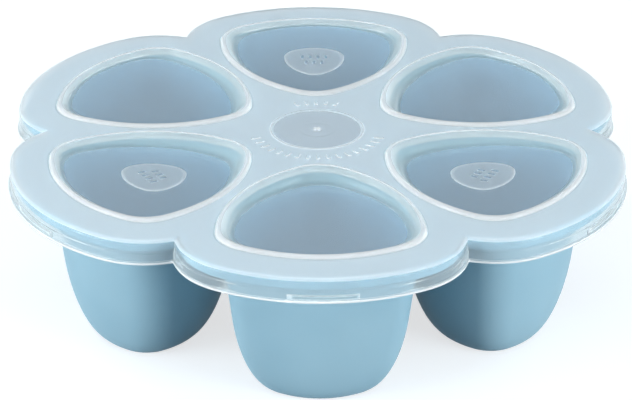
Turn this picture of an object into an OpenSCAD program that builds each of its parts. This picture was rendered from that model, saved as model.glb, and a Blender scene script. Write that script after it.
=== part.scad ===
// Freezer tray for baby food: six soft cups moulded in one piece, closed by one lid that clips over the rim.
// Seen from above, each cup is a rounded triangle of constant width with its apex at the centre,
// and the tray and the lid follow the six cups as a flower with six lobes.
// The tray stands on its cups at z = 0, and one cup points to the front, along -Y.

/* [Layout] */
// Distance from the tray's centre to the middle of a cup
cup_ring_r = 62.8; // [60:0.2:70]
// Width of a cup's outline on the lid, the same whichever way it is measured
outline_w = 65; // [58:0.5:68]
// Radius of the three corners of that outline
outline_corner_r = 13; // [11:0.5:18]
// Width of the lid's deck between a cup's outline and the lid's edge
deck_border = 12.8; // [10:0.2:18]
// Height of the closed tray from the cups' bases to the top of the deck
deck_height = 56; // [48:0.5:75]

/* [Cups] */
// Wall and floor of a cup
cup_wall = 2.2; // [1.6:0.1:3]
// Gap in plan between the outline on the lid and the cup's outer wall under the flange
cup_inset = 1.7; // [1:0.1:2]
// How far the cups are set towards the tray's edge from their outlines on the lid
cup_shift = 1.5; // [0:0.1:1.6]
// How far a cup's wall leans in for each millimetre of depth
cup_lean = 0.125; // [0.05:0.005:0.16]
// Height of the round lower part of a cup
cup_round_h = 25.6; // [15:0.2:28]
// How far the round lower part draws in
cup_round_w = 8.6; // [5:0.1:10]
// Radius of the corners of a cup's flat base
base_corner_r = 10; // [7:0.5:11]
// Gap in plan between the outline on the lid and the edge of the cup's mouth
mouth_inset = 1.6; // [1.4:0.1:2]
// Depth of the mouth's sloping lead-in
mouth_lead_h = 7; // [5:0.5:9]
// Thickness of the flange that joins the cups
flange_t = 4; // [3:0.2:4.4]

/* [Lid] */
// Thickness of the deck
deck_t = 1.4; // [1.2:0.1:2]
// Thickness of the skirt
skirt_t = 1.3; // [1:0.1:1.6]
// Height of the skirt from its lower edge to the top of the deck
skirt_h = 8.3; // [7.6:0.1:10]
// Gap in plan between the skirt and the flange
skirt_gap = 1; // [0.8:0.1:1.6]
// How far the lip along the skirt's lower edge stands out
lip_w = 0.7; // [0.3:0.1:1]
// Height of that lip
lip_h = 1.2; // [0.8:0.1:1.6]
// Depth of the recess over a cup, from the deck to the middle of the recess floor
recess_depth = 2; // [1.6:0.1:2.4]
// Wall and floor of a recess
recess_wall = 1.1; // [0.9:0.05:1.3]
// Inset of the recess floor from the recess mouth
floor_inset = 1.3; // [1.2:0.1:3]
// How far the recess floor is set towards the lid's edge
floor_shift = 1.2; // [0.8:0.1:1.6]
// Slope of the recess floor in degrees, down towards the tray's centre
floor_tilt = 2.7; // [0:0.1:3]
// Width of the raised bead round a recess
bead_w = 2.9; // [2.2:0.1:3]
// Width of the bead's outer slope
bead_slope_w = 0.6; // [0.4:0.1:0.8]
// Width of the bead's top
bead_top_w = 1; // [0.6:0.1:1.2]
// Height of that bead
bead_h = 1.1; // [0.5:0.1:1.4]
// Clearance between a recess and the cup that it plugs
plug_clearance = 0.35; // [0.3:0.05:0.6]

/* [Small features of the lid] */
// Length of each lug inside the skirt
lug_l = 22; // [12:1:30]
// Height of a lug
lug_h = 1.6; // [1:0.1:2]
// Clearance between a lug and the flange
lug_clearance = 0.3; // [0.3:0.05:0.5]
// Width of a badge on a recess floor
badge_w = 21; // [16:0.5:24]
// Radius of a badge's corners
badge_corner_r = 6; // [4:0.5:7]
// Height of a badge and of the marks on it
badge_h = 0.35; // [0.2:0.05:0.6]
// Distance from the middle of a recess floor to the middle of its badge, towards the centre
badge_offset = 2.8; // [0:0.2:4]
// Radius of the disc at the lid's centre
disc_r = 15.7; // [12:0.1:16]
// Height of the disc and of the ring of ticks round it
disc_h = 0.3; // [0.2:0.05:0.5]
// Radius of the moulding gate's nub
nub_r = 1.3; // [0.8:0.1:2]
// Height of the nub over the disc
nub_h = 0.5; // [0.3:0.1:0.8]

/* [Hidden] */
$fn = 96;
cups = 6;
cup_angles = [for (k = [0:cups - 1]) k * 360 / cups - 90];
facets = 36;           // flat steps round a cup
round_steps = 6;       // flat steps down the round lower part of a cup
buried = 0.6;          // how deep the parts of one moulding run into each other
past = 3;              // how far a cutter runs past the surface that it opens
outline_side = outline_w - 2 * outline_corner_r;
flange_top = deck_height - deck_t;
flange_bottom = flange_top - flange_t;
flange_border = deck_border - skirt_t - skirt_gap;
hub_r = cup_ring_r * cos(180 / cups);  // disc that fills the flower's middle, out to halfway between two cups
base_inset = cup_inset + cup_lean * flange_bottom + cup_round_w;
recess_mouth_inset = mouth_inset + plug_clearance + recess_wall;
recess_floor_z = deck_height - recess_depth;
lug_reach = skirt_gap - lug_clearance;
bead_shoulder = 0.4;   // share of the bead's height where its round top begins
tick_r = disc_r + 5.5;
tick_size = [2.6, 0.8, 2 * disc_h];
tick_step = 9;
tick_rows = [[-162, -18], [72, 108]];  // first and last angle of each row
stroke_size = [2.2, 0.8, 2 * badge_h];
stroke_step = 2.6;
stroke_rows = [[2.2, 4], [-2, 3]];     // each row's place on a badge and its count

// Point where a rounded triangle of constant width faces the direction phi
function outline_point(phi, side, corner) =
    let (k = round(phi / 60),
         on_side = k % 2 == 0,
         to_vertex = on_side ? 60 * k + 180 : 60 * k,
         r = on_side ? side + corner : corner)
    side / sqrt(3) * [cos(to_vertex), sin(to_vertex)] + r * [cos(phi), sin(phi)];

// The outline drawn in by inset at height z, and there set outwards by shift and sloped by tilt degrees;
// its corners tighten towards those of the base
function ring(inset, z, shift = 0, tilt = 0) =
    let (share = inset / base_inset,
         corner = outline_corner_r + share * (base_corner_r - outline_corner_r),
         side = outline_w - 2 * inset - 2 * corner)
    [for (j = [0:facets - 1])
        let (p = outline_point(j * 360 / facets, side, corner))
        [cup_ring_r + shift + p.x, p.y, z + p.x * tan(tilt)]];

// Solid through rings that are listed from the bottom up
module loft(rings) {
    n = len(rings[0]);
    m = len(rings);
    bottom = [for (j = [0:n - 1]) j];
    top = [for (j = [n - 1:-1:0]) (m - 1) * n + j];
    walls = [for (i = [0:m - 2], j = [0:n - 1])
        let (a = i * n + j, b = i * n + (j + 1) % n)
        each [[a, a + n, b + n], [a, b + n, b]]];
    polyhedron(points = [for (r = rings) each r], faces = concat([bottom, top], walls));
}

// Closed band through rings that follow a cross-section, up its outer side and down its inner one
module band(rings) {
    n = len(rings[0]);
    m = len(rings);
    walls = [for (i = [0:m - 1], j = [0:n - 1])
        let (k = (j + 1) % n, up = (i + 1) % m)
        each [[i * n + j, up * n + j, up * n + k], [i * n + j, up * n + k, i * n + k]]];
    polyhedron(points = [for (r = rings) each r], faces = walls);
}

module at_each_cup(angles = cup_angles) {
    for (a = angles) rotate(a) children();
}

// Rounded triangle of constant width with true arcs, its apex towards -X
module rounded_triangle(side, corner) {
    reach = 2 * (side + corner);
    for (k = [0:2]) rotate(120 * k) translate([-side / sqrt(3), 0]) {
        circle(corner);
        intersection() {
            circle(side + corner);
            polygon([[0, 0], reach * [cos(30), -sin(30)], reach * [cos(30), sin(30)]]);
        }
    }
}

// The six-lobed outline that runs border outside the cups' outlines
module flower(border) {
    circle(hub_r);
    at_each_cup() translate([cup_ring_r, 0]) rounded_triangle(outline_side, outline_corner_r + border);
}

module flower_ring(border, thickness) {
    difference() {
        flower(border);
        flower(border - thickness);
    }
}

// Inset of a cup's outer wall at a height under the flange
function wall_inset(z) = cup_inset + cup_lean * (flange_bottom - z);

// Rings of the round lower part of a cup, from its flat base up to its straight wall
function round_rings(base_z, extra) =
    [for (i = [round_steps:-1:0])
        let (t = 90 * i / round_steps,
             top_z = cup_round_h,
             z = top_z - (top_z - base_z) * sin(t))
        ring(wall_inset(z) + extra + cup_round_w * (1 - cos(t)), z, cup_shift)];

module cup_outside() {
    top_z = flange_bottom + buried;
    loft(concat(round_rings(0, 0), [ring(wall_inset(top_z), top_z, cup_shift)]));
}

module cup_inside() {
    lead_z = flange_top - mouth_lead_h;
    loft(concat(
        round_rings(cup_wall, cup_wall),
        [ring(wall_inset(lead_z) + cup_wall, lead_z, cup_shift),
         ring(mouth_inset, flange_top),
         ring(mouth_inset, flange_top + past)]));
}

module tray() {
    color([0.56, 0.73, 0.82]) difference() {
        union() {
            translate([0, 0, flange_bottom]) linear_extrude(flange_t) flower(flange_border);
            at_each_cup() cup_outside();
        }
        at_each_cup() cup_inside();
    }
}

// The part of the lid that reaches down into a cup's mouth
module recess_outside() {
    loft([
        ring(recess_mouth_inset + floor_inset - recess_wall, recess_floor_z - recess_wall,
             floor_shift, floor_tilt),
        ring(recess_mouth_inset - recess_wall, flange_top + buried)]);
}

module recess_inside() {
    loft([
        ring(recess_mouth_inset + floor_inset, recess_floor_z, floor_shift, floor_tilt),
        ring(recess_mouth_inset, deck_height),
        ring(recess_mouth_inset, deck_height + past)]);
}

module bead() {
    low = deck_height - buried;
    shoulder = deck_height + bead_shoulder * bead_h;
    top = deck_height + bead_h;
    band([
        ring(0, low), ring(0, shoulder), ring(bead_slope_w, top),
        ring(bead_slope_w + bead_top_w, top), ring(bead_w, deck_height), ring(bead_w, low)]);
}

// Bars that stand inside the skirt's lower edge and hold it under the flange
module lugs() {
    translate([0, 0, deck_height - skirt_h]) intersection() {
        linear_extrude(lug_h) flower_ring(deck_border - skirt_t / 2, skirt_t / 2 + lug_reach);
        at_each_cup() translate([cup_ring_r, -lug_l / 2, 0]) cube([cup_ring_r, lug_l, lug_h]);
    }
}

// A rounded triangle with two rows of plain strokes, on every second recess floor
module badge() {
    side = badge_w - 2 * badge_corner_r;
    translate([cup_ring_r + floor_shift, 0, recess_floor_z]) rotate([0, -floor_tilt, 0])
        translate([-badge_offset, 0, -badge_h]) {
        linear_extrude(2 * badge_h)
            polygon([for (j = [0:facets - 1]) outline_point(j * 360 / facets, side, badge_corner_r)]);
        for (row = stroke_rows, i = [0:row[1] - 1])
            translate([row[0], stroke_step * (i - (row[1] - 1) / 2), 2 * badge_h])
                cube(stroke_size, center = true);
    }
}

// Short strokes round the disc: a long row at the front and a short one at the back
module ticks() {
    for (row = tick_rows, a = [row[0]:tick_step:row[1]])
        rotate(a) translate([tick_r, 0, deck_height]) cube(tick_size, center = true);
}

module lid() {
    color([0.80, 0.89, 0.93, 0.55]) union() {
        difference() {
            union() {
                translate([0, 0, flange_top]) linear_extrude(deck_t) flower(deck_border);
                at_each_cup() recess_outside();
            }
            at_each_cup() recess_inside();
        }
        translate([0, 0, deck_height - skirt_h])
            linear_extrude(skirt_h - buried) flower_ring(deck_border, skirt_t);
        translate([0, 0, deck_height - skirt_h])
            linear_extrude(lip_h) flower_ring(deck_border + lip_w, lip_w + skirt_t / 2);
        at_each_cup() bead();
        at_each_cup([-30, 90, 210]) badge();
        lugs();
        ticks();
        translate([0, 0, deck_height - disc_h]) cylinder(r = disc_r, h = 2 * disc_h);
        translate([0, 0, deck_height]) cylinder(r = nub_r, h = disc_h + nub_h);
    }
}

tray();
lid();
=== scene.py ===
"""Looks of a freezer tray for baby food: a soft blue silicone tray with six cups under a frosted clear lid.

Lengths are in millimetres in the functions that shape the pieces, and each piece is scaled to metres at
the end. A cup's own plan has the middle of the tray at the origin and the cup out along +X.
"""
import math

import bpy
from mathutils import Matrix, Vector
from mathutils.geometry import delaunay_2d_cdt


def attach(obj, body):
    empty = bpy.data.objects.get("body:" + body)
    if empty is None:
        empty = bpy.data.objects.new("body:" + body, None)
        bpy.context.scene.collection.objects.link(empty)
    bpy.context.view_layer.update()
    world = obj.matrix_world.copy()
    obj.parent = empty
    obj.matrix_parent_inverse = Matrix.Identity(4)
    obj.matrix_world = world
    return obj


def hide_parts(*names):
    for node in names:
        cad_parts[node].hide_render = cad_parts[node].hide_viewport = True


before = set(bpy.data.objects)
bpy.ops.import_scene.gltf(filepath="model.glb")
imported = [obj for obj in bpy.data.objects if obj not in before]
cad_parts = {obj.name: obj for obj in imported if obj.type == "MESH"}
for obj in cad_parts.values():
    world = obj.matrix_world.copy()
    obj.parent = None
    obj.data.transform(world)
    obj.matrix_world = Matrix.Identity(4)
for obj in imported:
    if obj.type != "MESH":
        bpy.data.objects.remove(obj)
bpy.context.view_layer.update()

# Plan of the tray and the lid
CUP_RING_R = 62.8         # from the middle of the tray to the middle of a cup
OUTLINE_W = 65.0          # width of a cup's outline, the same in every direction
OUTLINE_CORNER_R = 13.0
OUTLINE_SIDE = OUTLINE_W - 2 * OUTLINE_CORNER_R
BASE_INSET = 16.625       # an outline drawn in by this much has corners of BASE_CORNER_R
BASE_CORNER_R = 10.0
CUP_ANGLES = [-90 + 60 * k for k in range(6)]
BADGE_ANGLES = [-30, 90, 210]
HALF_LOBE_ANGLE = 30      # degrees from a lobe's middle to the crease beside it
NOTCH_ROUNDING = 0.2      # degrees of the plan that the crease between two lobes is rounded over
RING_STEPS = 120          # points round a cup
LOBE_STEPS = 26           # steps along half a lobe's edge
FACING_STEP = 0.1         # degrees between the entries of a lobe's edge table
FACING_STEPS = 1201       # enough to pass the crease

# Heights above the table, and the lid's edge and the flange
DECK_Z = 56.0
DECK_UNDER_Z = 54.68
FLANGE_TOP_Z = 54.5
FLANGE_UNDER_Z = 50.6
SKIRT_FOOT_Z = 47.7
DECK_BORDER = 12.8        # the lid's edge lies this far outside the cups' outlines
DECK_EDGE_R = 1.05
FLANGE_BORDER = 10.5      # the flange's edge lies this far outside them
FLANGE_EDGE_R = 1.1
SKIRT_T = 1.3
LIP_W = 0.68              # how far the lip stands out from the deck's edge
LIP_H = 1.2

# Lugs inside the skirt
LUG_H = 1.6
LUG_REACH = 0.7
LUG_END_ANGLE = 6.07      # degrees from a lobe's middle to a lug's end
LUG_END_STEP = 0.12       # degrees from that angle to the edge points on each side of it
LUG_END_CLEAR = 0.5       # degrees on each side of it that have no other edge point
LUG_PAINTED_HIGHLIGHT_ANGLE = 5.4    # degrees from a lobe's middle to the strip of painted highlight at a lug's end

# Cups
CUP_WALL = 2.2
CUP_INSET = 1.7           # the outer wall starts this far inside the cup's outline
CUP_SHIFT = 1.5           # the walls' middle lies this far outside the outline's
CUP_LEAN = 0.125          # the wall draws in by this share of its depth
CUP_ROUND_H = 25.6        # height at which the round lower part starts
CUP_ROUND_W = 8.6
CUP_ROOT_R = 1.2
OUTER_WALL_Z = (46.0, 42.0, 36.0, 31.0)
INNER_WALL_Z = (40.0, 34.0, 29.0)
MOUTH_INSET = 1.6
MOUTH_RIM_R = 0.7
MOUTH_RIM_SHIFT = 0.06
MOUTH_LEAD_H = 7.0

# Recesses of the lid
MOUTH_OF_RECESS = 3.05    # a recess's mouth lies this far inside the cup's outline
FLOOR_INSET = 1.3         # its floor is drawn in by this much more than its mouth
FLOOR_SHIFT = 1.2         # and lies this far outwards of it
FLOOR_TILT = 2.7          # degrees, down towards the middle of the tray
FLOOR_Z = 54.0            # at the floor's middle
FLOOR_WALL = 1.1
PLUG_INSET = 2.15
PLUG_SHIFT = 0.26

# Badges, and the plain strokes on them and round the disc; a stroke's size is its length and width
BADGE_W = 21.0
BADGE_CORNER_R = 6.0
BADGE_CORNER_FALL = 0.6   # the corners' radius falls by this share of what the outline is drawn in
BADGE_STEPS = 60
BADGE_SHIFT = 2.8         # from the middle of the recess's floor towards the middle of the tray
BADGE_CENTRE_R = CUP_RING_R + FLOOR_SHIFT - BADGE_SHIFT
BADGE_PANEL_RISE = 0.15
BADGE_STROKE_RISE = 0.36
BADGE_STROKE_FOOT = (2.9, 1.3)
BADGE_STROKE_TOP = (2.6, 1.0)
BADGE_STROKE_PITCH = 2.7
BADGE_ROWS = ((2.2, 4), (-2.0, 3))      # each row's place from the badge's middle, and its strokes
RING_STROKE_R = 21.2
RING_STROKE_RISE = 0.32
RING_STROKE_FOOT = (3.3, 1.3)
RING_STROKE_TOP = (3.0, 1.0)
FRONT_STROKES = range(-162, -17, 9)     # degrees round the disc
BACK_STROKES = range(72, 109, 9)
DISC_STEPS = 96
NUB_STEPS = 32


# ---------------------------------------------------------------- plan curves

def outline_point(phi, side, corner):
    """Point where a rounded triangle of constant width faces the direction phi, in degrees."""
    k = math.floor(phi / 60 + 0.5)
    on_side = k % 2 == 0
    to_vertex = math.radians(60 * k + 180 if on_side else 60 * k)
    reach = side + corner if on_side else corner
    phi = math.radians(phi)
    arm = side / math.sqrt(3)
    return (arm * math.cos(to_vertex) + reach * math.cos(phi),
            arm * math.sin(to_vertex) + reach * math.sin(phi))


def ring(inset, z, shift=0.0, tilt=0.0):
    """A cup's outline drawn in by inset, set outwards by shift, and sloped by tilt degrees."""
    corner = OUTLINE_CORNER_R + inset / BASE_INSET * (BASE_CORNER_R - OUTLINE_CORNER_R)
    side = OUTLINE_W - 2 * inset - 2 * corner
    slope = math.tan(math.radians(tilt))
    points = [outline_point(360 * j / RING_STEPS, side, corner) for j in range(RING_STEPS)]
    return [(CUP_RING_R + shift + x, y, z + x * slope) for x, y in points]


def lobe_edge_table(border):
    """Polar angle and reach of one lobe's edge, from the lobe's middle to just past the crease beside it."""
    table = []
    for step in range(FACING_STEPS):
        x, y = outline_point(step * FACING_STEP, OUTLINE_SIDE, OUTLINE_CORNER_R + border)
        x += CUP_RING_R
        table.append((math.degrees(math.atan2(y, x)), math.hypot(x, y)))
        if table[-1][0] > HALF_LOBE_ANGLE + 1:
            break
    return table


def reach_at(table, angle):
    """How far out a lobe's edge lies at a polar angle, read between the entries of its table."""
    angle = abs(angle)
    for (a0, r0), (a1, r1) in zip(table, table[1:]):
        if a1 >= angle:
            return r0 + (r1 - r0) * (angle - a0) / (a1 - a0)
    return table[-1][1]


def lobe_angles():
    """Polar angles of the points along half a lobe: closer at the crease, with a pair at the lug's end."""
    crowding = 1.5
    shares = [1 - (1 - i / LOBE_STEPS) ** crowding for i in range(LOBE_STEPS + 1)]
    angles = [HALF_LOBE_ANGLE * share for share in shares]
    angles = [a for a in angles if abs(a - LUG_END_ANGLE) > LUG_END_CLEAR]
    return sorted(angles + [LUG_END_ANGLE - LUG_END_STEP, LUG_END_ANGLE + LUG_END_STEP])


HALF_LOBE = lobe_angles()
LOBE = [-a for a in reversed(HALF_LOBE[1:])] + HALF_LOBE[:-1]


def flower(border, z, inward=lambda angle: 0.0):
    """The six-lobed edge, border outside the cups' outlines. inward says how far it is drawn in at an angle
    from a lobe's middle."""
    table = lobe_edge_table(border)
    lobe = []
    for a in LOBE:
        rounded = HALF_LOBE_ANGLE - math.sqrt((HALF_LOBE_ANGLE - abs(a)) ** 2 + NOTCH_ROUNDING ** 2)
        lobe.append((a, reach_at(table, rounded) - inward(a)))
    points = []
    for turn in CUP_ANGLES:
        for a, r in lobe:
            angle = math.radians(turn + a)
            points.append((r * math.cos(angle), r * math.sin(angle), z))
    return points


def circle(radius, z, steps):
    angles = [2 * math.pi * j / steps for j in range(steps)]
    return [(radius * math.cos(a), radius * math.sin(a), z) for a in angles]


def turned(points, degrees):
    """The points turned about the middle of the tray."""
    turn = Matrix.Rotation(math.radians(degrees), 3, "Z")
    return [tuple(turn @ Vector(p)) for p in points]


# ---------------------------------------------------------------- surfaces

class Shell:
    """Collects the points and faces of one closed moulding, with the finish of each face."""

    def __init__(self):
        self.points = []
        self.faces = []
        self.finishes = []
        self.flat = set()

    def loop(self, points):
        """Adds points and returns their numbers."""
        start = len(self.points)
        self.points.extend(points)
        return list(range(start, len(self.points)))

    def skin(self, loops, finish, inside_out=False):
        """Quads between closed loops of equal length. finish is one, or a list with one for each place
        round the loop."""
        for low, high in zip(loops, loops[1:]):
            n = len(low)
            for j in range(n):
                k = (j + 1) % n
                quad = (low[j], low[k], high[k], high[j])
                self.faces.append(quad[::-1] if inside_out else quad)
                self.finishes.append(finish[j] if isinstance(finish, list) else finish)

    def inside(self, place, loop):
        """Whether a place in plan lies inside a loop: a line from it crosses the loop an odd number
        of times."""
        crossings = 0
        for i, j in zip(loop, loop[1:] + loop[:1]):
            x0, y0 = self.points[i][:2]
            x1, y1 = self.points[j][:2]
            spans = (y0 > place.y) != (y1 > place.y)
            if spans and place.x < x0 + (place.y - y0) / (y1 - y0) * (x1 - x0):
                crossings += 1
        return crossings % 2 == 1

    def fill(self, outer, finish, holes=(), facing_up=True):
        """Filling of triangles inside the loop outer, open in the holes, and shaded flat."""
        ids = list(outer)
        edges = [(j, (j + 1) % len(outer)) for j in range(len(outer))]
        owner = {i: None for i in outer}
        rim = set(outer)
        for number, loop in enumerate(holes):
            start = len(ids)
            ids.extend(loop)
            edges.extend((start + j, start + (j + 1) % len(loop)) for j in range(len(loop)))
            for i in loop:
                owner[i] = number
        flat = [Vector(self.points[i][:2]) for i in ids]
        within_edges = 1
        merge_distance = 1e-7
        found = delaunay_2d_cdt(flat, edges, [], within_edges, merge_distance, True)
        triangles = found[2]
        back = [ids[sources[0]] for sources in found[3]]
        for triangle in triangles:
            corners = [back[i] for i in triangle]
            owners = {owner[i] for i in corners}
            # All three corners on one hole: the triangle lies in that hole.
            if len(owners) == 1 and None not in owners:
                continue
            a, b, c = (Vector(self.points[i][:2]) for i in corners)
            if rim.issuperset(corners) and not self.inside((a + b + c) / 3, outer):
                continue
            up = (b - a).cross(c - a) > 0
            self.flat.add(len(self.faces))
            self.faces.append(tuple(corners if up == facing_up else corners[::-1]))
            self.finishes.append(finish)

    def piece(self, name, materials):
        """Makes the Blender object, in metres."""
        mesh = bpy.data.meshes.new(name)
        mesh.from_pydata([tuple(v / 1000 for v in p) for p in self.points], [], self.faces)
        for material in materials:
            mesh.materials.append(material)
        for number, (polygon, finish) in enumerate(zip(mesh.polygons, self.finishes)):
            polygon.material_index = finish
            polygon.use_smooth = number not in self.flat
        mesh.update()
        piece = bpy.data.objects.new(name, mesh)
        bpy.context.scene.collection.objects.link(piece)
        return piece


# ---------------------------------------------------------------- materials

def linear(hex_colour):
    """Turns an sRGB hex colour to the linear colour that the shaders take."""
    shares = [int(hex_colour[i:i + 2], 16) / 255 for i in (1, 3, 5)]
    return tuple(s / 12.92 if s <= 0.04045 else ((s + 0.055) / 1.055) ** 2.4 for s in shares) + (1.0,)


def put(tree, kind, inputs=(), **settings):
    """Adds a node with its settings; an input is a plain value or another node's output."""
    node = tree.nodes.new(kind)
    for name, value in settings.items():
        setattr(node, name, value)
    for name, value in dict(inputs).items():
        if isinstance(value, bpy.types.NodeSocket):
            tree.links.new(value, node.inputs[name])
        else:
            node.inputs[name].default_value = value
    return node


def new_material(name):
    material = bpy.data.materials.new(name)
    material.use_nodes = True
    tree = material.node_tree
    tree.nodes.clear()
    return material, tree


def moulded_silicone():
    """Food-grade silicone, moulded in a matte tool: soft, a little translucent, with a broad dull sheen."""
    material, tree = new_material("moulded_matte_silicone")
    place = put(tree, "ShaderNodeTexCoord").outputs["Object"]
    # The tool's blasted grain is about 0.1 mm; it is drawn at 0.6 mm so that it still breaks up the sheen.
    grain = put(tree, "ShaderNodeTexNoise", {"Vector": place, "Scale": 1 / 0.0006, "Detail": 2.0})
    # Pigment and wall thickness vary slowly over about 25 mm.
    cloud = put(tree, "ShaderNodeTexNoise", {"Vector": place, "Scale": 1 / 0.025, "Detail": 1.0})
    tint = put(tree, "ShaderNodeValToRGB", {"Fac": cloud.outputs["Fac"]})
    for stop, position, colour in zip(tint.color_ramp.elements, (0.3, 0.7), ("#8bafc0", "#92b5c5")):
        stop.position = position
        stop.color = linear(colour)
    rough = put(tree, "ShaderNodeMapRange", {
        "Value": cloud.outputs["Fac"], "To Min": 0.46, "To Max": 0.54})
    bump = put(tree, "ShaderNodeBump", {
        "Height": grain.outputs["Fac"], "Strength": 0.08, "Distance": 0.0002})
    # The specular level is matched to the photograph, whose cups show almost no highlight.
    surface = put(tree, "ShaderNodeBsdfPrincipled", {
        "Base Color": tint.outputs["Color"], "Roughness": rough.outputs["Result"], "IOR": 1.41,
        "Specular IOR Level": 0.06,
        "Subsurface Weight": 0.15, "Subsurface Radius": (0.6, 0.9, 1.0), "Subsurface Scale": 0.003,
        "Normal": bump.outputs["Normal"]})
    put(tree, "ShaderNodeOutputMaterial", {"Surface": surface.outputs["BSDF"]})
    return material


def moulded_polypropylene(name, milk, roughness, colour):
    """Clear polypropylene as it leaves the mould: crystals in it scatter light, so it looks milky, and
    milkier where it is thick or its face was blasted. milk is the share of light that it scatters back."""
    material, tree = new_material(name)
    place = put(tree, "ShaderNodeTexCoord").outputs["Object"]
    # Flow of the melt leaves soft waves about 12 mm long in the gloss.
    waves = put(tree, "ShaderNodeTexNoise", {"Vector": place, "Scale": 1 / 0.012, "Detail": 1.5})
    rough = put(tree, "ShaderNodeMapRange", {
        "Value": waves.outputs["Fac"], "To Min": roughness * 0.85, "To Max": roughness * 1.15})
    bump = put(tree, "ShaderNodeBump", {
        "Height": waves.outputs["Fac"], "Strength": 0.06, "Distance": 0.0004})
    surface = put(tree, "ShaderNodeBsdfPrincipled", {
        "Base Color": linear(colour), "Roughness": rough.outputs["Result"], "IOR": 1.49,
        "Transmission Weight": 1 - milk, "Normal": bump.outputs["Normal"]})
    # Lamps shine on through the lid to the tray under it, and lose a little light on the way.
    shadow = put(tree, "ShaderNodeLightPath").outputs["Is Shadow Ray"]
    through = put(tree, "ShaderNodeBsdfTransparent", {"Color": linear("#e6ebee")})
    mixed = put(tree, "ShaderNodeMixShader", {
        0: shadow, 1: surface.outputs["BSDF"], 2: through.outputs["BSDF"]})
    put(tree, "ShaderNodeOutputMaterial", {"Surface": mixed.outputs["Shader"]})
    return material


# Finishes of the lid, in the order of its materials; the tray has the one finish SILICONE
DECK, BEAD_AND_PAINTED_HIGHLIGHT, RECESS_WALL_AND_PAINTED_SHADE, WINDOW, BADGE, DISC, SKIRT = range(7)
SILICONE = 0


def lid_materials():
    """The lid is one polypropylene. Its faces differ by thickness and by how the mould was finished there,
    and two of its finishes also carry painted light: one a painted highlight, one a painted shade.
    """
    return [
        # Satin from a fine tool face: evenly milky, and it mirrors nothing clearly.
        moulded_polypropylene("moulded_polypropylene_satin_deck", 0.38, 0.36, "#eaf4f9"),
        # Thick and smooth: the whitest part, with thin bright glints. Its whiteness is partly painted
        # highlight, on the beads, the disc's crest, the nub's tip, the lugs' ends, the lip's edge and the
        # sides of the strokes round the disc.
        moulded_polypropylene("moulded_polypropylene_thick_bead_and_painted_highlight", 0.48, 0.14, "#f8fafb"),
        # Thin and seen at a slant: nearly clear and a little grey, with a blurred look. The grey is painted
        # shade, on the recess walls and plugs, in the grooves at the beads' feet and along the lugs.
        moulded_polypropylene("moulded_polypropylene_recess_wall_and_painted_shade", 0.16, 0.32, "#cfdcde"),
        # Polished in the tool: the cup shows through it, with a trace of blue.
        moulded_polypropylene("moulded_polypropylene_polished_window", 0.19, 0.16, "#deeffa"),
        # Blasted in the tool: duller and milkier than the window round it.
        moulded_polypropylene("blasted_polypropylene_badge", 0.27, 0.42, "#e4f0f7"),
        # Polished in the tool: greyer and glossier than the deck round it.
        moulded_polypropylene("polished_polypropylene_disc", 0.28, 0.22, "#dce1e6"),
        # Thin and smooth: as clear as the recess walls and the glossiest part, with sharp glints.
        moulded_polypropylene("moulded_polypropylene_skirt", 0.16, 0.13, "#cfdde2"),
    ]


# ---------------------------------------------------------------- tray

def quarter_turn(count):
    """Angles from 0 to 90 degrees, in radians."""
    return [math.pi / 2 * (i / count) for i in range(count + 1)]


def rounded_corner(radius, count):
    """How far the points of a rounded corner lie in from its side and below its top."""
    return [(radius * (1 - math.sin(t)), radius * (1 - math.cos(t))) for t in quarter_turn(count)]


def cup_wall_inset(z):
    """How far a cup's outer wall lies inside the cup's outline at a height."""
    return CUP_INSET + CUP_LEAN * (FLANGE_UNDER_Z - z)


def round_bottom(base_z, extra):
    """Rings of a cup's round lower part, from its straight wall down to its flat base."""
    rings = []
    for t in quarter_turn(18):
        z = CUP_ROUND_H - (CUP_ROUND_H - base_z) * math.sin(t)
        rings.append(ring(cup_wall_inset(z) + extra + CUP_ROUND_W * (1 - math.cos(t)), z, CUP_SHIFT))
    return rings


def cup_outside_rings():
    """From the soft corner under the flange down to the base."""
    root_inset = cup_wall_inset(FLANGE_UNDER_Z - CUP_ROOT_R)
    rings = []
    for aside, below in rounded_corner(CUP_ROOT_R, 5):
        rings.append(ring(root_inset - aside, FLANGE_UNDER_Z - below, CUP_SHIFT))
    for z in OUTER_WALL_Z:
        rings.append(ring(cup_wall_inset(z), z, CUP_SHIFT))
    return rings + round_bottom(0.0, 0.0)


def cup_inside_rings():
    """From the mouth's rounded rim down the sloping lead-in and the wall to the floor."""
    lead_z = FLANGE_TOP_Z - MOUTH_LEAD_H
    foot = cup_wall_inset(lead_z) + CUP_WALL
    rim = rounded_corner(MOUTH_RIM_R, 4)
    rings = []
    for step, (aside, below) in enumerate(rim):
        shift = MOUTH_RIM_SHIFT * (step / (len(rim) - 1))
        rings.append(ring(MOUTH_INSET - aside, FLANGE_TOP_Z - below, shift))
    for share in (0.3, 0.6, 0.9, 0.98):
        z = FLANGE_TOP_Z - MOUTH_LEAD_H * share
        rings.append(ring(MOUTH_INSET + (foot - MOUTH_INSET) * share, z, CUP_SHIFT * share))
    for z in (lead_z - 0.4,) + INNER_WALL_Z:
        rings.append(ring(cup_wall_inset(z) + CUP_WALL, z, CUP_SHIFT))
    return rings + round_bottom(CUP_WALL, CUP_WALL)


def flange_edge():
    """The flange's rounded edge, from its top round to its underside."""
    flat_band = 0.5
    flat_start = FLANGE_BORDER - FLANGE_EDGE_R - flat_band
    corner = rounded_corner(FLANGE_EDGE_R, 6)
    loops = [flower(flat_start, FLANGE_TOP_Z)]
    for aside, below in corner:
        loops.append(flower(FLANGE_BORDER - aside, FLANGE_TOP_Z - below))
    for aside, below in corner:
        loops.append(flower(FLANGE_BORDER - below, FLANGE_UNDER_Z + aside))
    loops.append(flower(flat_start, FLANGE_UNDER_Z))
    return loops


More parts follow.
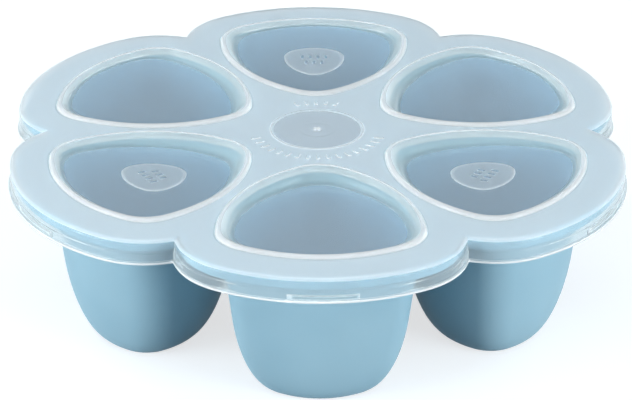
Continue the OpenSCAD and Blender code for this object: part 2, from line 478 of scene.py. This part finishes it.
def build_tray(material):
    shell = Shell()
    edge = [shell.loop(points) for points in flange_edge()]
    shell.skin(edge, SILICONE, inside_out=True)
    mouths, roots = [], []
    for angle in CUP_ANGLES:
        inside = [shell.loop(turned(points, angle)) for points in cup_inside_rings()]
        outside = [shell.loop(turned(points, angle)) for points in cup_outside_rings()]
        shell.skin(inside, SILICONE)
        shell.skin(outside, SILICONE, inside_out=True)
        shell.fill(inside[-1], SILICONE)
        shell.fill(outside[-1], SILICONE, facing_up=False)
        mouths.append(inside[0])
        roots.append(outside[0])
    shell.fill(edge[0], SILICONE, mouths)
    shell.fill(edge[-1], SILICONE, roots, facing_up=False)
    tray = shell.piece("tray_silicone", [material])
    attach(tray, "tray_body")
    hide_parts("tray")


# ---------------------------------------------------------------- lid

def bead_rings():
    """From the deck up over the bead round a recess and down to the recess's mouth."""
    section = [(-0.95, 0.0), (-0.75, -0.08), (-0.45, -0.16), (-0.25, -0.04), (-0.1, 0.2), (0.05, 0.55),
               (0.25, 0.86), (0.55, 1.03), (0.9, 1.09), (1.25, 1.05), (1.6, 0.9), (2.0, 0.62), (2.45, 0.28),
               (2.85, -0.08)]
    return [ring(inset, DECK_Z + rise) for inset, rise in section]


def recess_ring(share, extra=0.0):
    """A ring on the recess's wall, share of the way from its mouth down to its floor, drawn in by extra."""
    z = DECK_Z + (FLOOR_Z - DECK_Z) * share
    inset = MOUTH_OF_RECESS + FLOOR_INSET * share + extra
    return ring(inset, z, FLOOR_SHIFT * share, FLOOR_TILT * share)


def recess_rings():
    """Down the recess's wall, round the soft corner at its floor and a little way over the floor."""
    wall = [(0.2, 0.0), (0.4, 0.0), (0.58, 0.0), (0.7, 0.0)]
    corner = [(0.8, 0.06), (0.88, 0.2), (0.945, 0.45), (0.985, 0.8), (1.0, 1.3)]
    floor = [(1.0, 1.8)]
    return [recess_ring(share, extra) for share, extra in wall + corner + floor]


def plug_rings():
    """Underside of a recess: from the deck's underside down to the plug's end."""
    rings = [ring(1.9, DECK_UNDER_Z, 0.2), ring(PLUG_INSET, DECK_UNDER_Z - 0.15, PLUG_SHIFT)]
    end_z = FLOOR_Z - FLOOR_WALL
    # On its way down the plug draws in, and its middle moves outwards.
    draw_in = 1.1
    move_out = 0.94
    for share in (0.3, 0.5, 0.65):
        z = DECK_UNDER_Z + (end_z - DECK_UNDER_Z) * share
        inset = PLUG_INSET + draw_in * share
        rings.append(ring(inset, z, PLUG_SHIFT + move_out * share, FLOOR_TILT * share))
    for inset, rise in ((3.25, 0.38), (3.5, 0.2), (3.85, 0.07), (4.35, 0.0), (5.0, 0.0)):
        rings.append(ring(inset, end_z + rise, FLOOR_SHIFT, FLOOR_TILT))
    return rings


def stroke(length, width, x, y, z=0.0):
    """Plan of a short stroke with cut corners, its length along X."""
    a = length / 2
    b = width / 2
    cut = width * 0.25
    plan = [(a, b - cut), (a - cut, b), (-a + cut, b), (-a, b - cut),
            (-a, -b + cut), (-a + cut, -b), (a - cut, -b), (a, -b + cut)]
    return [(x + u, y + v, z) for u, v in plan]


def on_floor(points, rise):
    """Sets points of a cup's own plan on its sloping recess floor."""
    slope = math.tan(math.radians(FLOOR_TILT))
    middle = CUP_RING_R + FLOOR_SHIFT
    return [(x, y, FLOOR_Z + (x - middle) * slope + rise) for x, y, _ in points]


def badge_outline(width):
    """A badge's outline in plan: a rounded triangle like the cup's, nearer to the middle of the tray."""
    corner = BADGE_CORNER_R - (BADGE_W - width) / 2 * BADGE_CORNER_FALL
    side = width - 2 * corner
    points = [outline_point(360 * j / BADGE_STEPS, side, corner) for j in range(BADGE_STEPS)]
    return [(BADGE_CENTRE_R + x, y, 0.0) for x, y in points]


def badge_loops(shell, angle):
    """The badge's outline with its thin raised border, and two rows of plain strokes inside it."""
    border = [(BADGE_W, 0.0), (20.6, 0.2), (20.1, 0.32), (19.5, 0.32), (19.0, 0.24), (18.6, BADGE_PANEL_RISE)]
    loops = [shell.loop(turned(on_floor(badge_outline(width), rise), angle)) for width, rise in border]
    strokes = []
    for row, count in BADGE_ROWS:
        for i in range(count):
            x = BADGE_CENTRE_R + row
            y = BADGE_STROKE_PITCH * (i - (count - 1) / 2)
            foot = on_floor(stroke(*BADGE_STROKE_FOOT, x, y), BADGE_PANEL_RISE)
            top = on_floor(stroke(*BADGE_STROKE_TOP, x, y), BADGE_STROKE_RISE)
            strokes.append([shell.loop(turned(loop, angle)) for loop in (foot, top)])
    return loops, strokes


def raised_mark(shell, loops, side, top):
    """Sides and top of a small raised mark, whose loops run from its foot up to its top."""
    shell.skin(loops, side)
    shell.fill(loops[-1], top)


def recess(shell, angle):
    """Bead, wall and floor of one recess, and the plug under it. Returns the loops where the bead and the
    plug meet the deck's two faces."""
    bead = [shell.loop(turned(points, angle)) for points in bead_rings()]
    wall = [shell.loop(turned(points, angle)) for points in recess_rings()]
    plug = [shell.loop(turned(points, angle)) for points in plug_rings()]
    # Places along the bead's section where the groove, the ridge and the slope into the recess start. The
    # groove's grey is painted shade at the bead's foot, and the white from the ridge to the slope is partly
    # painted highlight.
    groove, ridge, slope = 1, 3, 10
    shell.skin(bead[:groove + 1], DECK)
    shell.skin(bead[groove:ridge + 1], RECESS_WALL_AND_PAINTED_SHADE)
    shell.skin(bead[ridge:slope + 1], BEAD_AND_PAINTED_HIGHLIGHT)
    shell.skin(bead[slope:], RECESS_WALL_AND_PAINTED_SHADE)
    shell.skin([bead[-1]] + wall[:-1], RECESS_WALL_AND_PAINTED_SHADE)
    shell.skin(wall[-2:], WINDOW)
    shell.skin(plug[:-1], RECESS_WALL_AND_PAINTED_SHADE, inside_out=True)
    shell.skin(plug[-2:], WINDOW, inside_out=True)
    shell.fill(plug[-1], WINDOW, facing_up=False)
    if angle in BADGE_ANGLES:
        badge, strokes = badge_loops(shell, angle)
        shell.fill(wall[-1], WINDOW, [badge[0]])
        shell.skin(badge, DECK)
        shell.fill(badge[-1], BADGE, [mark[0] for mark in strokes])
        for mark in strokes:
            raised_mark(shell, mark, BADGE, WINDOW)
    else:
        shell.fill(wall[-1], WINDOW)
    return bead[0], plug[0]


def disc_and_gate(shell):
    """The disc at the lid's centre, with its thin raised rim and the nub that the moulding gate left."""
    section = [(16.0, 0.0), (15.75, 0.1), (15.5, 0.26), (15.1, 0.32), (14.7, 0.26), (14.4, 0.12),
               (14.1, 0.08)]
    rim = [shell.loop(circle(r, DECK_Z + rise, DISC_STEPS)) for r, rise in section]
    section = [(6.2, 0.08), (5.6, 0.2), (5.0, 0.2), (4.2, 0.1), (1.9, 0.1), (1.4, 0.2), (1.15, 0.5),
               (0.9, 0.72), (0.5, 0.8)]
    boss = [shell.loop(circle(r, DECK_Z + rise, NUB_STEPS)) for r, rise in section]
    # Places along the rim's section where the painted highlight on its crest starts and ends and where the
    # disc starts
    crest, crest_end, disc = 2, 3, 5
    shell.skin(rim[:crest + 1], DECK)
    shell.skin(rim[crest:crest_end + 1], BEAD_AND_PAINTED_HIGHLIGHT)
    shell.skin(rim[crest_end:disc + 1], DECK)
    shell.skin(rim[disc:], DISC)
    shell.fill(rim[-1], DISC, [boss[0]])
    # Place along the boss's section where the painted highlight on the nub's tip starts
    tip = 6
    shell.skin(boss[:tip + 1], DISC)
    shell.skin(boss[tip:], BEAD_AND_PAINTED_HIGHLIGHT)
    shell.fill(boss[-1], BEAD_AND_PAINTED_HIGHLIGHT)
    return rim[0]


def ring_of_strokes(shell):
    """Short strokes round the disc: a long row at the front and a short one at the back. Returns the loops
    at their feet."""
    feet = []
    for angle in list(FRONT_STROKES) + list(BACK_STROKES):
        foot = turned(stroke(*RING_STROKE_FOOT, RING_STROKE_R, 0, DECK_Z), angle)
        top = turned(stroke(*RING_STROKE_TOP, RING_STROKE_R, 0, DECK_Z + RING_STROKE_RISE), angle)
        loops = [shell.loop(foot), shell.loop(top)]
        # The strokes' sides take the whitest finish: painted highlight along their edges.
        raised_mark(shell, loops, BEAD_AND_PAINTED_HIGHLIGHT, DECK)
        feet.append(loops[0])
    return feet


def lug(angle):
    """How far a lug reaches in from the skirt, at an angle from a lobe's middle."""
    return LUG_REACH if abs(angle) < LUG_END_ANGLE else 0.0


def lug_finish(angle):
    """Finish of the skirt's inner face near its foot, at an angle from a lobe's middle: painted highlight on
    a strip at each end of a lug, and painted shade along its middle.
    """
    if abs(angle) > LUG_END_ANGLE:
        return SKIRT
    return BEAD_AND_PAINTED_HIGHLIGHT if abs(angle) > LUG_PAINTED_HIGHLIGHT_ANGLE else RECESS_WALL_AND_PAINTED_SHADE


def skirt_loops():
    """Loops round the lid's edge. The outer ones run from the deck over its rounded edge and down the skirt
    to the lip's foot, and the inner ones up past the lugs to the deck's underside."""
    foot = SKIRT_FOOT_Z
    lip_top = foot + LIP_H
    outer = [flower(DECK_BORDER - DECK_EDGE_R - band, DECK_Z) for band in (0.8, 0.3)]
    for aside, below in rounded_corner(DECK_EDGE_R, 7):
        outer.append(flower(DECK_BORDER - aside, DECK_Z - below))
    # How far out from the deck's edge, and at which height
    down = [(0.0, 51.6), (0.02, 51.45), (0.14, 51.3), (0.16, 51.1), (0.16, lip_top + 0.45),
            (0.22, lip_top + 0.15), (0.45, lip_top), (LIP_W - 0.08, lip_top - 0.1), (LIP_W, lip_top - 0.3),
            (LIP_W, foot + 0.25), (LIP_W - 0.1, foot + 0.05), (LIP_W - 0.3, foot)]
    outer += [flower(DECK_BORDER + out, z) for out, z in down]
    # How far in from the skirt's inner face, at which height, and with how much of the lugs' reach
    face = DECK_BORDER - SKIRT_T
    up = [(-0.1, foot, 1), (0.0, foot + 0.15, 1), (0.0, foot + LUG_H - 0.2, 1), (0.0, foot + LUG_H, 0.85),
          (0.0, foot + LUG_H + 0.15, 0.0), (0.0, 50.0, 0.0), (0.0, 54.0, 0.0), (0.15, 54.45, 0.0),
          (0.5, DECK_UNDER_Z, 0.0), (0.9, DECK_UNDER_Z, 0.0)]
    inner = [flower(face - draw, z, lambda a, s=share: s * lug(a)) for draw, z, share in up]
    return outer, inner


def build_lid(materials):
    shell = Shell()
    outer, inner = skirt_loops()
    outer = [shell.loop(points) for points in outer]
    inner = [shell.loop(points) for points in inner]
    feet, plugs = [], []
    for angle in CUP_ANGLES:
        foot, plug = recess(shell, angle)
        feet.append(foot)
        plugs.append(plug)
    disc = disc_and_gate(shell)
    strokes = ring_of_strokes(shell)
    shell.fill(outer[0], DECK, feet + [disc] + strokes)
    # Places in outer where the skirt and the painted highlight along the lip's edge start, and in inner above
    # the lugs
    skirt, lip_edge, lugs_end = 9, 18, 5
    shell.skin(outer[:skirt + 1], DECK, inside_out=True)
    shell.skin(outer[skirt:lip_edge + 1], SKIRT, inside_out=True)
    shell.skin(outer[lip_edge:] + inner[:1], BEAD_AND_PAINTED_HIGHLIGHT, inside_out=True)
    lug_finishes = [lug_finish(a) for a in LOBE] * len(CUP_ANGLES)
    shell.skin(inner[:lugs_end + 1], lug_finishes, inside_out=True)
    shell.skin(inner[lugs_end:-1], SKIRT, inside_out=True)
    shell.skin(inner[-2:], DECK, inside_out=True)
    shell.fill(inner[-1], DECK, plugs, facing_up=False)
    lid = shell.piece("lid_polypropylene", materials)
    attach(lid, "lid_body")
    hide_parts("lid")


# ---------------------------------------------------------------- camera, floor and light

def place_camera():
    """The photograph's own view: from the front, 26.5 degrees above the table and a degree to the left."""
    height = 0.46208          # angles in radians
    turn = -0.01783
    roll = 0.00378
    distance = 0.99040        # lengths in metres, but for the two that say otherwise
    slide_right = -0.00035672
    slide_up = -0.02326995
    target = Vector((0, 0, 0.056))
    focal_pixels = 2997.58
    image_width_pixels = 632
    sensor_width_mm = 36
    level = math.cos(height)
    back = Vector((math.sin(turn) * level, -math.cos(turn) * level, math.sin(height)))
    right = Vector((math.cos(turn), math.sin(turn), 0))
    up = back.cross(right)
    right, up = (right * math.cos(roll) + up * math.sin(roll),
                 up * math.cos(roll) - right * math.sin(roll))
    place = back * distance + right * slide_right + up * slide_up + target
    camera = bpy.data.objects.new("camera", bpy.data.cameras.new("camera"))
    camera.data.lens = focal_pixels / image_width_pixels * sensor_width_mm
    camera.data.clip_start = 0.05
    camera.matrix_world = Matrix.Translation(place) @ Matrix((right, up, back)).transposed().to_4x4()
    bpy.context.scene.collection.objects.link(camera)
    bpy.context.scene.camera = camera


def studio_paint():
    """Matte pale grey paint, rolled on the studio's floor. The tray is lit by it as grey. The camera, gloss
    and light that comes through the lid see it lifted to white, with the tray's shadow on it."""
    material, tree = new_material("rolled_pale_grey_studio_paint")
    place = put(tree, "ShaderNodeTexCoord").outputs["Object"]
    # A roller's stipple of about 1.5 mm keeps the floor from looking like a flat card.
    stipple = put(tree, "ShaderNodeTexNoise", {"Vector": place, "Scale": 1 / 0.0015, "Detail": 2.0})
    bump = put(tree, "ShaderNodeBump", {
        "Height": stipple.outputs["Fac"], "Strength": 0.02, "Distance": 0.0002})
    paint = put(tree, "ShaderNodeBsdfDiffuse", {
        "Color": linear("#a6b1b8"), "Normal": bump.outputs["Normal"]})
    path = put(tree, "ShaderNodeLightPath")
    seen = path.outputs["Is Camera Ray"]
    for kind in ("Is Glossy Ray", "Is Transmission Ray"):
        either = put(tree, "ShaderNodeMath", {0: seen, 1: path.outputs[kind]}, operation="MAXIMUM")
        seen = either.outputs[0]
    lift = put(tree, "ShaderNodeMath", {0: seen, 1: 0.70}, operation="MULTIPLY")
    glow = put(tree, "ShaderNodeEmission", {"Color": linear("#ffffff"), "Strength": lift.outputs[0]})
    both = put(tree, "ShaderNodeAddShader", {0: paint.outputs[0], 1: glow.outputs[0]})
    put(tree, "ShaderNodeOutputMaterial", {"Surface": both.outputs[0]})
    return material


def lay_floor():
    """A round studio floor in metres, whose far edge sweeps up, so that a low view sees no horizon."""
    steps = 48
    gap_under_cups = 0.0002
    sweep = [(1.5, 0.0), (5.0, 0.0), (5.4, 0.03), (5.7, 0.12), (5.9, 0.3), (6.0, 0.6), (6.0, 1.0)]
    points, faces = [(0.0, 0.0, 0.0)], []
    for reach, height in sweep:
        points += circle(reach, height, steps)
    for j in range(steps):
        k = (j + 1) % steps
        faces.append((0, 1 + j, 1 + k))
        for row in range(len(sweep) - 1):
            low = 1 + row * steps
            high = low + steps
            faces.append((low + j, high + j, high + k, low + k))
    mesh = bpy.data.meshes.new("floor")
    mesh.from_pydata(points, [], faces)
    mesh.shade_smooth()
    mesh.materials.append(studio_paint())
    floor = bpy.data.objects.new("floor", mesh)
    floor.location.z = -gap_under_cups
    bpy.context.scene.collection.objects.link(floor)


def softbox(name, place, aim, width, height, power, glints=True):
    """A rectangular lamp, in metres and watts. Without glints it lights the tray and the lid, but their
    gloss doesn't mirror it."""
    lamp = bpy.data.lights.new(name, "AREA")
    lamp.shape = "RECTANGLE"
    lamp.size = width
    lamp.size_y = height
    lamp.energy = power
    lamp.color = linear("#fffdfb")[:3]
    light = bpy.data.objects.new(name, lamp)
    light.visible_glossy = glints
    light.location = place
    light.rotation_euler = (Vector(aim) - Vector(place)).to_track_quat("-Z", "Y").to_euler()
    bpy.context.scene.collection.objects.link(light)


def light_studio():
    """A plain pale world, a softbox overhead, a strip light and four low softboxes."""
    world = bpy.data.worlds.new("studio")
    world.use_nodes = True
    tree = world.node_tree
    tree.nodes.clear()
    pale = put(tree, "ShaderNodeBackground", {"Color": linear("#edf5fc"), "Strength": 0.41})
    put(tree, "ShaderNodeOutputWorld", {"Surface": pale.outputs[0]})
    bpy.context.scene.world = world
    softbox("softbox_over", (0.05, -0.6, 1.25), (0, 0, 0.03), 1.0, 0.7, 3.0)
    # With glints, a low view opposite one of the four low lamps sees it as a white glare on the lid.
    softbox("softbox_left", (-1.15, -0.5, 0.28), (0, 0, 0.02), 0.7, 0.5, 15, glints=False)
    softbox("softbox_right", (1.05, -0.75, 0.28), (0, 0, 0.02), 0.7, 0.5, 15.5, glints=False)
    softbox("softbox_back_left", (-0.5, 1.15, 0.3), (0, 0, 0.0), 0.5, 0.3, 1.6, glints=False)
    softbox("softbox_back_right", (0.65, 1.1, 0.3), (0, 0, 0.0), 0.5, 0.3, 1.8, glints=False)
    softbox("striplight_left", (-0.75, 0.3, 1.1), (0, 0, 0.05), 0.12, 0.5, 2)


place_camera()
bpy.context.scene.view_settings.view_transform = "Standard"
lay_floor()
light_studio()
build_tray(moulded_silicone())
build_lid(lid_materials())
